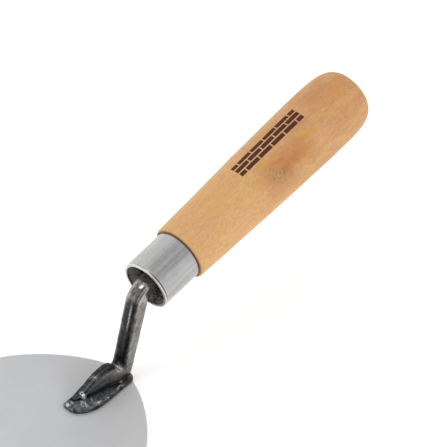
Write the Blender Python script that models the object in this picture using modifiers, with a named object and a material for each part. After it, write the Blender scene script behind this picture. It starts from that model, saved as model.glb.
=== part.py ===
"""Bricklaying trowel: a round-heeled steel blade, a forged shank on top of it, a ferrule and a turned handle.

Metres, +Z up. The origin is on the blade's flat underside, at the foot of the shank's neck, and +X points
from there towards the handle. Blade, neck, ferrule and handle are symmetric about the XZ plane; the forged foot
and tongue lean to the left, +Y.
"""

import math

import bmesh
import bpy
from mathutils import Vector

COLLECTION = "bricklaying_trowel"
TAU = 2 * math.pi
GAP = 0.0003

# Blade: a flat sheet, widest a third of the way from heel to point; the curve lengths shape its outline
BLADE_LENGTH = 0.180
BLADE_WIDTH = 0.104
BLADE_THICKNESS = 0.0012
BLADE_WIDEST = 0.066
HEEL_BEHIND_NECK = 0.0028
HEEL_CURVE = 0.0162
SHOULDER_CURVE = 0.0340
FLANK_CURVE = 0.0480
POINT_CURVE = 0.0110
BLADE_EDGE_BREAK = 0.0002

# Foot: the flat flange of the forging, welded to the blade; its nose is square on the left, swept on the right
FOOT_NOSE = -0.0374
FOOT_NOSE_LEFT = 0.0045
FOOT_SWEEP = 0.0160
FOOT_RIGHT = 0.0083
FOOT_HEEL = 0.0034
FOOT_HEEL_LEFT = 0.0062
FOOT_HEEL_RIGHT = 0.0072
FOOT_THICKNESS = 0.0014
FOOT_NOSE_ROUND = 0.0014
FOOT_HEEL_ROUND = 0.0042
FOOT_EDGE_BREAK = 0.0004

# Tongue: the rib on the foot, from its toe to the crease at the neck. Each station holds its place along X, the Y
# of its right flank's foot, then (Y, Z) of the ridge above that flank and of the shoulder on the left
TONGUE_STATIONS = (
    (-0.0322, 0.0022, (0.0028, 0.0028), (0.0042, 0.0030)),
    (-0.0285, 0.0009, (0.0014, 0.0031), (0.0046, 0.0047)),
    (-0.0254, -0.0004, (-0.0001, 0.0036), (0.0045, 0.0064)),
    (-0.0228, -0.0009, (-0.0004, 0.0058), (0.0043, 0.0082)),
    (-0.0204, -0.0012, (-0.0006, 0.0088), (0.0042, 0.0099)),
    (-0.0176, -0.0017, (-0.0007, 0.0108), (0.0042, 0.0114)),
    (-0.0132, -0.0024, (-0.0008, 0.0118), (0.0044, 0.0121)),
    (-0.0092, -0.0029, (-0.0011, 0.0115), (0.0044, 0.0119)),
    (-0.0068, -0.0034, (-0.0022, 0.0109), (0.0042, 0.0111)),
)
TONGUE_SPLAY = 0.0003
TONGUE_CORNER = 0.0009
HEEL_WIDTH = 0.0076
CREASE = Vector((-0.0042, 0.0096))
CREASE_RADIUS = 0.0012

# Neck: rises from the tongue, leans a little towards the point, then turns into the handle
NECK_LEAN = math.radians(1.8)
NECK_LOWER = Vector((0.0076, 0.0084))
NECK_UPPER = Vector((0.0096, 0.0079))
NECK_CORNER = 0.0018
NECK_BEND_RADIUS = 0.0062
NECK_START = 0.0040

# Handle axis: through the centre of the ferrule's mouth
MOUTH = Vector((0.0028, 0.0597))
HANDLE_PITCH = math.radians(15.4)

# Tang: the shank's tapered end inside the handle
TANG_LENGTH = 0.078
TANG_TIP = 0.0040

# Ferrule: a drawn cup whose end is pierced
FERRULE_RADIUS = 0.0130
FERRULE_LENGTH = 0.0233
FERRULE_WALL = 0.0010
FERRULE_LIP_RADIUS = 0.0016
FERRULE_MOUTH_RADIUS = 0.0112

# Handle: turned wood, swelling towards a domed butt; its spigot fills the ferrule
HANDLE_LENGTH = 0.1470
SHOULDER_RADIUS = 0.0146
SWELL_RADIUS = 0.01685
SWELL_CURVE = 1.33
SHOULDER_ROUND = 0.0018
DOME_LENGTH = 0.0317
DOME_CURVE = 4.5
SPIGOT_RECESS = 0.0030
BORE_RADIUS = 0.0068
BORE_DEPTH = 0.0170
BORE_END_RADIUS = 0.0034
BORE_END_CLEARANCE = 0.0020

ROUND_STEPS = 48
ARC_STEPS = 6


def new_collection(name):
    collection = bpy.data.collections.new(name)
    bpy.context.scene.collection.children.link(collection)
    return collection


def material(name, colour, roughness, metallic):
    made = bpy.data.materials.new(name)
    made.use_nodes = True
    shader = made.node_tree.nodes["Principled BSDF"]
    shader.inputs["Base Color"].default_value = (*colour, 1.0)
    shader.inputs["Roughness"].default_value = roughness
    shader.inputs["Metallic"].default_value = metallic
    return made


def add_object(name, data, collection, finish=None):
    obj = bpy.data.objects.new(name, data)
    collection.objects.link(obj)
    if finish is not None:
        data.materials.append(finish)
    return obj


def smooth(mesh, degrees=35):
    mesh.shade_smooth()
    mesh.set_sharp_from_angle(angle=math.radians(degrees))


def welded_mesh(mesh):
    """Joins the loose caps of a converted curve to its sides."""
    edit = bmesh.new()
    edit.from_mesh(mesh)
    bmesh.ops.remove_doubles(edit, verts=edit.verts, dist=1e-7)
    bmesh.ops.recalc_face_normals(edit, faces=edit.faces)
    edit.to_mesh(mesh)
    edit.free()


def arc(centre, radius, start, end, steps=ARC_STEPS):
    """Points on a circle, from one angle to another, both included."""
    turns = (start + (end - start) * i / steps for i in range(steps + 1))
    return [centre + radius * Vector((math.cos(t), math.sin(t))) for t in turns]


def bevelled(obj, width, segments=2):
    edge = obj.modifiers.new("edge_break", "BEVEL")
    edge.width = width
    edge.segments = segments
    edge.limit_method = "ANGLE"
    edge.angle_limit = math.radians(40)


def plate(name, curve, thickness, base, collection, finish=None):
    """A filled flat outline of the given thickness, standing on height base, as a mesh."""
    curve.dimensions = "2D"
    curve.fill_mode = "BOTH"
    curve.extrude = thickness / 2
    guide = add_object(name + "_outline", curve, collection)
    guide.location.z = base + thickness / 2
    bpy.context.view_layer.update()
    evaluated = guide.evaluated_get(bpy.context.evaluated_depsgraph_get())
    mesh = bpy.data.meshes.new_from_object(evaluated)
    welded_mesh(mesh)
    obj = add_object(name, mesh, collection, finish)
    obj.matrix_world = guide.matrix_world
    bpy.data.objects.remove(guide)
    return obj


def blade_outline():
    """Heel, shoulders and point as four Bezier knots, with the handles that shape the flanks between them."""
    heel_x = HEEL_BEHIND_NECK
    half = BLADE_WIDTH / 2
    wide_x = heel_x - BLADE_WIDEST
    tip_x = heel_x - BLADE_LENGTH
    knots = (
        ((heel_x, 0), (heel_x, -HEEL_CURVE), (heel_x, HEEL_CURVE)),
        ((wide_x, half), (wide_x + SHOULDER_CURVE, half), (wide_x - FLANK_CURVE, half)),
        ((tip_x, 0), (tip_x, POINT_CURVE), (tip_x, -POINT_CURVE)),
        ((wide_x, -half), (wide_x - FLANK_CURVE, -half), (wide_x + SHOULDER_CURVE, -half)),
    )
    curve = bpy.data.curves.new("blade_outline", "CURVE")
    curve.resolution_u = 24
    spline = curve.splines.new("BEZIER")
    spline.bezier_points.add(len(knots) - 1)
    for point, (place, before, after) in zip(spline.bezier_points, knots):
        point.handle_left_type = "FREE"
        point.handle_right_type = "FREE"
        point.co = (*place, 0)
        point.handle_left = (*before, 0)
        point.handle_right = (*after, 0)
    spline.use_cyclic_u = True
    return curve


def make_blade(collection, finish):
    blade = plate("blade", blade_outline(), BLADE_THICKNESS, 0, collection, finish)
    bevelled(blade, BLADE_EDGE_BREAK, 1)
    smooth(blade.data, 60)
    return blade


def foot_outline():
    """Square nose with a small left corner, a long elliptical sweep on the right, rounded heel corners."""
    turns = 16
    sweep = []
    for i in range(turns + 1):
        turn = TAU / 4 * i / turns
        sweep.append(Vector((FOOT_NOSE + FOOT_SWEEP * (1 - math.cos(turn)), -FOOT_RIGHT * math.sin(turn))))
    nose_corner = Vector((FOOT_NOSE + FOOT_NOSE_ROUND, FOOT_NOSE_LEFT - FOOT_NOSE_ROUND))
    heel_x = FOOT_HEEL - FOOT_HEEL_ROUND
    outline = arc(nose_corner, FOOT_NOSE_ROUND, TAU / 4, TAU / 2, 5) + sweep
    outline += arc(Vector((heel_x, FOOT_HEEL_ROUND - FOOT_HEEL_RIGHT)), FOOT_HEEL_ROUND, -TAU / 4, 0, 5)
    outline += arc(Vector((heel_x, FOOT_HEEL_LEFT - FOOT_HEEL_ROUND)), FOOT_HEEL_ROUND, 0, TAU / 4, 5)
    curve = bpy.data.curves.new("foot_outline", "CURVE")
    spline = curve.splines.new("POLY")
    spline.points.add(len(outline) - 1)
    for point, place in zip(spline.points, outline):
        point.co = (*place, 0, 1)
    spline.use_cyclic_u = True
    return curve


def rounded_rectangle(depth, width, corner):
    """A rounded rectangle around (0, 0): x across the depth, y across the width."""
    corner = min(corner, 0.49 * depth, 0.49 * width)
    points = []
    for quarter, (sx, sy) in enumerate(((1, 1), (-1, 1), (-1, -1), (1, -1))):
        centre = Vector((sx * (depth / 2 - corner), sy * (width / 2 - corner)))
        start = quarter * TAU / 4
        points += arc(centre, corner, start, start + TAU / 4, 4)
    return points


def section(inner, outer, width, corner):
    """A loft section: its mid-line in the XZ plane runs from inner to outer, its width lies along Y."""
    across = outer - inner
    middle = (inner + outer) / 2
    unit = across.normalized()
    ring = rounded_rectangle(across.length, width, corner)
    return [Vector((middle.x + unit.x * p.x, p.y, middle.y + unit.y * p.x)) for p in ring]


def rounded_corners(corners, radius, steps=4):
    """A closed outline whose corners are rounded off, as many points at each corner as in an arc."""
    points = []
    for i, corner in enumerate(corners):
        before = corners[i - 1] - corner
        after = corners[(i + 1) % len(corners)] - corner
        start = corner + before.normalized() * min(radius, 0.45 * before.length)
        end = corner + after.normalized() * min(radius, 0.45 * after.length)
        for step in range(steps + 1):
            share = step / steps
            points.append(start.lerp(corner, share).lerp(corner.lerp(end, share), share))
    return points


def tongue_sections(bottom):
    """Upright sections from the tongue's toe to the crease at the neck."""
    rings = []
    for x, right, (ridge_y, ridge_z), (shoulder_y, shoulder_z) in TONGUE_STATIONS:
        left_foot = Vector((x, shoulder_y + TONGUE_SPLAY, bottom))
        shoulder = Vector((x, shoulder_y, shoulder_z))
        ridge = Vector((x, ridge_y, ridge_z))
        right_foot = Vector((x, right, bottom))
        rings.append(rounded_corners((left_foot, shoulder, ridge, right_foot), TONGUE_CORNER))
    return rings


def heel_sections(bottom):
    """Sections that fan about the crease's fillet, from upright to level, round the outer corner."""
    pivot = CREASE + CREASE_RADIUS * Vector((-1, 1))
    drop = pivot.y - bottom
    reach = NECK_LOWER.x + CREASE_RADIUS
    turns = 6
    squareness = 4
    rings = []
    for i in range(turns + 1):
        turn = TAU / 4 * i / turns
        down = math.cos(turn)
        back = math.sin(turn)
        length = ((down / drop) ** squareness + (back / reach) ** squareness) ** (-1 / squareness)
        direction = Vector((back, -down))
        inner = pivot + CREASE_RADIUS * direction
        outer = pivot + length * direction
        width = HEEL_WIDTH + (NECK_LOWER.y - HEEL_WIDTH) * i / turns
        rings.append(section(inner, outer, width, TONGUE_CORNER + (NECK_CORNER - TONGUE_CORNER) * i / turns))
    return rings


def neck_directions():
    rising = Vector((-math.sin(NECK_LEAN), math.cos(NECK_LEAN)))
    handle = Vector((math.cos(HANDLE_PITCH), math.sin(HANDLE_PITCH)))
    return rising, handle


def bend_corner():
    """Where the neck's centre line, which starts over the origin, meets the handle's axis."""
    rising, handle = neck_directions()
    cross = rising.x * handle.y - rising.y * handle.x
    along = (MOUTH.x * handle.y - MOUTH.y * handle.x) / cross
    return rising * along


def neck_sections():
    """The straight neck, the bend with its arc about an inner centre, and the tapered tang."""
    rising, handle = neck_directions()
    corner = bend_corner()
    turn = math.acos(rising.dot(handle))
    tangent = NECK_BEND_RADIUS * math.tan(turn / 2)
    bend_start = corner - rising * tangent
    pivot = bend_start + NECK_BEND_RADIUS * Vector((rising.y, -rising.x))
    straight_start = rising * (CREASE.y + NECK_START)
    rings = []
    for i in range(5):
        share = i / 5
        centre = straight_start.lerp(bend_start, share)
        size = NECK_LOWER.lerp(NECK_UPPER, share)
        inner = Vector((-rising.y, rising.x)) * size.x / 2
        rings.append(section(centre + inner, centre - inner, size.y, NECK_CORNER))
    for i in range(9):
        angle = turn * i / 8
        outward = Vector((-rising.y, rising.x)) * math.cos(angle) + rising * math.sin(angle)
        centre = pivot + NECK_BEND_RADIUS * outward
        half = outward * NECK_UPPER.x / 2
        rings.append(section(centre + half, centre - half, NECK_UPPER.y, NECK_CORNER))
    upward = Vector((-handle.y, handle.x))
    tang_start = corner + handle * tangent
    tip = Vector((TANG_TIP, TANG_TIP))
    for share in (0.2, 0.4, 0.6, 0.8, 1.0):
        centre = tang_start.lerp(MOUTH + handle * TANG_LENGTH, share)
        size = NECK_UPPER.lerp(tip, share)
        half = upward * size.x / 2
        rings.append(section(centre + half, centre - half, size.y, NECK_CORNER * (1 - 0.6 * share)))
    return rings


def loft(name, rings):
    """A closed skin over rings of equal point counts, capped at both ends, with its faces pointing out."""
    edit = bmesh.new()
    rows = [[edit.verts.new(point) for point in ring] for ring in rings]
    count = len(rings[0])
    for near, far in zip(rows, rows[1:]):
        for i in range(count):
            j = (i + 1) % count
            edit.faces.new((near[i], near[j], far[j], far[i]))
    edit.faces.new(rows[0])
    edit.faces.new(rows[-1])
    bmesh.ops.recalc_face_normals(edit, faces=edit.faces)
    mesh = bpy.data.meshes.new(name)
    edit.to_mesh(mesh)
    edit.free()
    return mesh


def make_shank(collection, helpers, finish):
    """One forging: foot, tongue, neck and tang."""
    foot_base = BLADE_THICKNESS + GAP
    foot = plate("shank_foot", foot_outline(), FOOT_THICKNESS, foot_base, helpers)
    bevelled(foot, FOOT_EDGE_BREAK, 2)
    foot.hide_render = True
    foot.display_type = "WIRE"
    bottom = foot_base + 0.3 * FOOT_THICKNESS
    rings = tongue_sections(bottom) + heel_sections(bottom) + neck_sections()
    shank = add_object("shank", loft("shank", rings), collection, finish)
    join = shank.modifiers.new("foot", "BOOLEAN")
    join.operation = "UNION"
    join.solver = "EXACT"
    join.object = foot
    smooth(shank.data)
    return shank


def turned(name, profile, closed, collection, finish):
    """Turns a profile of (radius, height) about the handle's axis; heights start at the ferrule's mouth."""
    edit = bmesh.new()
    verts = [edit.verts.new((radius, 0, height)) for radius, height in profile]
    for near, far in zip(verts, verts[1:]):
        edit.edges.new((near, far))
    if closed:
        edit.edges.new((verts[-1], verts[0]))
    mesh = bpy.data.meshes.new(name)
    edit.to_mesh(mesh)
    edit.free()
    obj = add_object(name, mesh, collection, finish)
    obj.location = (MOUTH.x, 0, MOUTH.y)
    obj.rotation_euler = (0, TAU / 4 - HANDLE_PITCH, 0)
    screw = obj.modifiers.new("turn", "SCREW")
    screw.steps = ROUND_STEPS
    screw.render_steps = ROUND_STEPS
    screw.use_merge_vertices = True
    screw.merge_threshold = 0.00001
    screw.use_smooth_shade = True
    return obj


def make_ferrule(collection, finish):
    """A tube with a rounded lip that turns in over the mouth."""
    inner = FERRULE_RADIUS - FERRULE_WALL
    lip = Vector((FERRULE_RADIUS - FERRULE_LIP_RADIUS, FERRULE_LIP_RADIUS))
    profile = [Vector((FERRULE_RADIUS, FERRULE_LENGTH))]
    profile += arc(lip, FERRULE_LIP_RADIUS, 0, -TAU / 4)
    profile += [Vector((FERRULE_MOUTH_RADIUS, 0)), Vector((FERRULE_MOUTH_RADIUS, FERRULE_WALL))]
    profile += arc(lip, FERRULE_LIP_RADIUS - FERRULE_WALL, -TAU / 4, 0, 3)[1:]
    profile += [Vector((inner, FERRULE_LENGTH))]
    return turned("ferrule", profile, True, collection, finish)


def handle_radius(height):
    """The grip's radius: a gentle swell from the shoulder to where the dome begins."""
    start = FERRULE_LENGTH + GAP
    share = (height - start) / (HANDLE_LENGTH - DOME_LENGTH - start)
    return SHOULDER_RADIUS + (SWELL_RADIUS - SHOULDER_RADIUS) * (1 - (1 - share) ** SWELL_CURVE)


def make_handle(collection, finish):
    """A turned grip with a spigot for the ferrule and a blind, tapered bore for the tang."""
    dome_base = HANDLE_LENGTH - DOME_LENGTH
    shoulder = FERRULE_LENGTH + GAP
    spigot = FERRULE_RADIUS - FERRULE_WALL - GAP
    dome_steps = 14
    grip_steps = 14
    profile = []
    for i in range(dome_steps):
        angle = TAU / 4 * (1 - i / dome_steps)
        radius = 0 if i == 0 else SWELL_RADIUS * math.cos(angle) ** (2 / DOME_CURVE)
        height = dome_base + DOME_LENGTH * math.sin(angle) ** (2 / DOME_CURVE)
        profile.append(Vector((radius, height)))
    for i in range(grip_steps):
        height = dome_base + (shoulder + SHOULDER_ROUND - dome_base) * i / grip_steps
        profile.append(Vector((handle_radius(height), height)))
    round_base = shoulder + SHOULDER_ROUND
    round_centre = Vector((handle_radius(round_base) - SHOULDER_ROUND, round_base))
    profile += arc(round_centre, SHOULDER_ROUND, 0, -TAU / 4, 4)
    profile += [Vector((spigot, shoulder)), Vector((spigot, SPIGOT_RECESS))]
    profile += [Vector((BORE_RADIUS, SPIGOT_RECESS)), Vector((BORE_RADIUS, BORE_DEPTH))]
    bore_end = TANG_LENGTH + BORE_END_CLEARANCE
    profile += [Vector((BORE_END_RADIUS, bore_end)), Vector((0, bore_end))]
    return turned("handle", profile, False, collection, finish)


def main():
    for obj in list(bpy.data.objects):
        bpy.data.objects.remove(obj, do_unlink=True)
    parts = new_collection(COLLECTION)
    helpers = new_collection("helpers")
    steel = material("satin_steel", (0.54, 0.545, 0.555), 0.38, 1.0)
    scale = material("forge_scale", (0.045, 0.047, 0.052), 0.42, 0.7)
    zinc = material("drawn_steel", (0.50, 0.50, 0.50), 0.32, 1.0)
    wood = material("varnished_wood", (0.73, 0.41, 0.17), 0.45, 0.0)
    make_blade(parts, steel)
    make_shank(parts, helpers, scale)
    make_ferrule(parts, zinc)
    make_handle(parts, wood)


main()
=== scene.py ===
"""Looks of the bricklaying trowel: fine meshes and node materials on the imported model, a floor, soft light.

Metres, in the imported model's frame: the origin is on the blade's underside at the foot of the neck, +X points
towards the handle and +Z is up. The shapes repeat the model's driving dimensions, and add what the forge, the
press, the lathe and use leave on them. Lengths in the materials are in millimetres.
"""

import math

import bmesh
import bpy
import numpy as np
from mathutils import Matrix, Vector, noise


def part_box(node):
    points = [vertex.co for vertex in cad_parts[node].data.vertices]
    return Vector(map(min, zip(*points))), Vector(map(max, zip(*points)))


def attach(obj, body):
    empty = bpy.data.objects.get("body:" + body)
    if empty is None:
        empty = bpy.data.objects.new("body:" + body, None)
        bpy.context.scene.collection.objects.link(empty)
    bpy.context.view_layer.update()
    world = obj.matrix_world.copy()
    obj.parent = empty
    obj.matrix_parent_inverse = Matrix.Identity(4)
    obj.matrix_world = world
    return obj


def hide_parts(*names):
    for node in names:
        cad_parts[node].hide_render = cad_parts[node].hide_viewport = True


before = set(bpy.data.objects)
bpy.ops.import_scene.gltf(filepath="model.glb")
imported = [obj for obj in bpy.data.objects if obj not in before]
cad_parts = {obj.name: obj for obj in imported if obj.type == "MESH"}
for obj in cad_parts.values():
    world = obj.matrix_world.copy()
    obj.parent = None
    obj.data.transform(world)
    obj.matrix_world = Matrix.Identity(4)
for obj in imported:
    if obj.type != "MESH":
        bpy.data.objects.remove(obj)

TAU = 2 * math.pi
MM = 1000
BODY = "root"

# Camera: where it looks from, and the point in the middle of its view
VIEW_TURN = math.radians(59.56)
VIEW_TILT = math.radians(44.35)
VIEW_ROLL = math.radians(14.10)
VIEW_CENTRE = Vector((0.03971, -0.01131, 0.08638))
VIEW_DISTANCE = 5.817
LENS = 1000
CLIP_END = 60

# Blade outline between its box's sides, as in the model
BLADE_WIDEST = 0.066
HEEL_CURVE = 0.0162
SHOULDER_CURVE = 0.0340
FLANK_CURVE = 0.0480
POINT_CURVE = 0.0110
BLADE_EDGE_ROUND = 0.00035

# Foot: the flange that is welded to the blade; its nose is square on the left, swept on the right
FOOT_NOSE = -0.0374
FOOT_NOSE_LEFT = 0.0045
FOOT_SWEEP = 0.0160
FOOT_RIGHT = 0.0083
FOOT_HEEL = 0.0034
FOOT_HEEL_LEFT = 0.0062
FOOT_HEEL_RIGHT = 0.0072
FOOT_NOSE_ROUND = 0.0014
FOOT_HEEL_ROUND = 0.0042
FOOT_TOP = 0.0029
WELD_LINE = 0.00003
MODEL_GAP = 0.0003  # between the model's foot and blade; filled here down to the weld line

# Tongue: the rib on the foot, from its toe to the crease. Each station holds its place along X, the Y of its
# right flank's foot, then (Y, Z) of the ridge above that flank and of the shoulder on the left
TONGUE_STATIONS = (
    (-0.0322, 0.0022, (0.0028, 0.0028), (0.0042, 0.0030)),
    (-0.0285, 0.0009, (0.0014, 0.0031), (0.0046, 0.0047)),
    (-0.0254, -0.0004, (-0.0001, 0.0036), (0.0045, 0.0064)),
    (-0.0228, -0.0009, (-0.0004, 0.0058), (0.0043, 0.0082)),
    (-0.0204, -0.0012, (-0.0006, 0.0088), (0.0042, 0.0099)),
    (-0.0176, -0.0017, (-0.0007, 0.0108), (0.0042, 0.0114)),
    (-0.0132, -0.0024, (-0.0008, 0.0118), (0.0044, 0.0121)),
    (-0.0092, -0.0029, (-0.0011, 0.0115), (0.0044, 0.0119)),
    (-0.0068, -0.0034, (-0.0022, 0.0109), (0.0042, 0.0111)),
)
TONGUE_SPLAY = 0.0003
TONGUE_CORNER = 0.0009
HEEL_WIDTH = 0.0076
CREASE = Vector((-0.0042, 0.0096))
CREASE_RADIUS = 0.0012

# Weld beads on the foot: how many, how far sunk in radii, how bright their painted glint is
BEADS = 12
BEAD_SUNK = 0.35
BEAD_GLINT = 0.55

# Painted glints over weld spatter on the foot and the tongue's toe: (x, y) of the middle, half lengths along X
# and Y
SPATTER_GLINTS = (
    (-0.0297, -0.0023, 0.0016, 0.0022),
    (-0.0360, 0.0026, 0.0012, 0.0014),
    (-0.0266, 0.0013, 0.0012, 0.0020),
    (-0.0164, -0.0049, 0.0012, 0.0010),
    (-0.0080, -0.0060, 0.0036, 0.0006),
    (-0.0235, -0.0062, 0.0022, 0.0008),
)

# Hammer dents and weld crust on the forging: size and depth
DENT_SIZE = 0.0042
DENT_DEPTH = 0.00022
CRUST_SIZE = 0.0016
CRUST_DEPTH = 0.00013
KNUCKLE_CROWN = 0.0007
KNUCKLE_HALF_WIDTH = 0.004

# Marks at the crease, a spot of painted shade, a painted highlight and a straw tint: middle, and reach along X,
# Y and Z
CREASE_SHADE = (-0.0040, -0.0022, 0.0110), (0.0015, 0.0011, 0.0018)
CREASE_HIGHLIGHT = (-0.0054, -0.0014, 0.0102), (0.0022, 0.0022, 0.0022)
CREASE_STRAW = (-0.0072, -0.0032, 0.0070), (0.0042, 0.0028, 0.0030)

# Neck: rises from the tongue and turns into the handle
NECK_LEAN = math.radians(1.8)
NECK_LOWER = Vector((0.0076, 0.0084))
NECK_UPPER = Vector((0.0096, 0.0079))
NECK_CORNER = 0.0018
NECK_BEND_RADIUS = 0.0062
NECK_START = 0.0040

# Handle axis: through the centre of the ferrule's mouth
MOUTH = Vector((0.0028, 0.0597))
HANDLE_PITCH = math.radians(15.4)

# Tang: the shank's tapered end inside the handle
TANG_LENGTH = 0.078
TANG_TIP = 0.0040

# Ferrule: a drawn cup with a pierced end
FERRULE_RADIUS = 0.0130
FERRULE_LENGTH = 0.0233
FERRULE_WALL = 0.0010
FERRULE_MOUTH_RADIUS = 0.0115
FERRULE_LIP_RADIUS = 0.0006
FERRULE_GROOVE = 0.0010
FERRULE_GROOVE_DEPTH = 0.00016
FERRULE_GROOVE_WIDTH = 0.0006
FERRULE_RIM_BREAK = 0.00030
FERRULE_MOUTH_BREAK = 0.00022
FERRULE_TURN_IN = 0.0016
FERRULE_TURN_IN_RADIUS = 0.0006
FERRULE_DENTS = 0.00004

# Handle: turned wood with a domed butt, a spigot for the ferrule and a bore for the tang
HANDLE_LENGTH = 0.1470
SHOULDER = 0.0236
SHOULDER_RADIUS = 0.0146
SWELL_RADIUS = 0.01685
SWELL_CURVE = 1.33
SHOULDER_ROUND = 0.0018
DOME_LENGTH = 0.0317
DOME_CURVE = 4.5
SPIGOT_RADIUS = 0.0117
SPIGOT_RECESS = 0.0050
BORE_RADIUS = 0.0068
BORE_DEPTH = 0.0170
BORE_END_RADIUS = 0.0034
BORE_END = 0.0800
BORE_EDGE = 0.0005
SANDING = 0.00012

# Room light: how bright it is at the walls and overhead, and between which heights it changes
ROOM_WALLS = 0.88
ROOM_CEILING = 0.63
ROOM_LOW = 0.10
ROOM_HIGH = 0.95
BACKDROP = 1.05

# Lamps: name, place, size, power, and whether polished surfaces show them
LAMP_AIM = (0.03, 0.0, 0.05)
LAMPS = (
    ("right_lamp", (0.45, -1.25, 0.75), (1.1, 0.8), 7, False),
    ("left_lamp", (-0.35, 1.25, 0.85), (0.9, 0.8), 5, False),
    ("top_lamp", (-0.66, 0.28, 1.26), (0.20, 0.42), 3, True),
)

TURNED_STEPS = 192
FORGED_VOXEL = 0.0003


def srgb(red, green, blue):
    """A colour given as 8-bit screen values, in linear light."""
    shares = (value / 255 for value in (red, green, blue))
    linear = (s / 12.92 if s <= 0.04045 else ((s + 0.055) / 1.055) ** 2.4 for s in shares)
    return (*linear, 1.0)


# Colours and marks of the materials
WHITE = (1, 1, 1, 1)
WOOD_YELLOW = srgb(212, 166, 107)
WOOD_TAN = srgb(212, 163, 112)
WOOD_ROSY = srgb(213, 162, 113)
WOOD_GREY = srgb(197, 152, 107)
WOOD_BROWN = srgb(193, 142, 93)

# Forge scale: the grey that stands for each level from 0 to 1
SCALE_GREYS = ((0.0, 15), (0.25, 38), (0.50, 81), (0.72, 125), (1.0, 180))

# Painted reflection bands along the ferrule: middle, round from the top; half width; how much darker, negative
# for lighter
FERRULE_REFLECTION_BANDS = (
    (-6.5, 0.7, 0.16),
    (-9.5, 0.5, 0.08),
    (-2.0, 1.2, 0.06),
    (5.2, 4.4, -0.30),
    (14.5, 1.6, 0.14),
    (-23.0, 5.0, 0.20),
)

# Stains in the wood: middle, along and round; half lengths, along and round; slant; strength; tone
WOOD_STAINS = (
    (86.8, -12.0, 2.6, 1.6, 0.6, 0.55, (146, 104, 70)),
    (88.4, -14.5, 1.6, 4.2, -0.2, 0.50, (182, 112, 72)),
    (86.0, -7.0, 4.6, 1.1, -0.35, 0.75, (188, 120, 58)),
    (97.0, -10.0, 8.0, 4.4, 0.0, 0.72, (184, 120, 66)),
    (94.0, -11.3, 2.6, 1.8, 0.0, 0.45, (176, 108, 62)),
    (108.0, -7.2, 5.0, 1.8, -0.3, 0.65, (200, 150, 66)),
    (108.4, -4.6, 1.1, 0.8, 0.0, 0.35, (160, 122, 104)),
    (82.0, -4.6, 4.5, 1.3, -0.2, 0.45, (204, 150, 72)),
    (113.0, -13.0, 7.0, 5.0, 0.0, 0.30, (214, 160, 120)),
    (132.0, -1.5, 6.5, 4.2, 0.3, 0.50, (200, 138, 82)),
    (124.0, 5.0, 9.0, 3.0, 0.2, 0.40, (186, 132, 84)),
    (80.0, -20.5, 14.0, 4.5, 0.0, 0.40, (186, 138, 90)),
    (52.0, -2.0, 9.0, 3.6, 0.2, 0.35, (212, 156, 92)),
    (46.0, 9.0, 8.0, 3.0, 0.0, 0.40, (210, 160, 96)),
    (104.0, 24.0, 11.0, 5.0, 0.0, 0.55, (196, 140, 88)),
    (58.0, -36.0, 14.0, 4.0, 0.0, 0.45, (204, 150, 98)),
)


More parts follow.
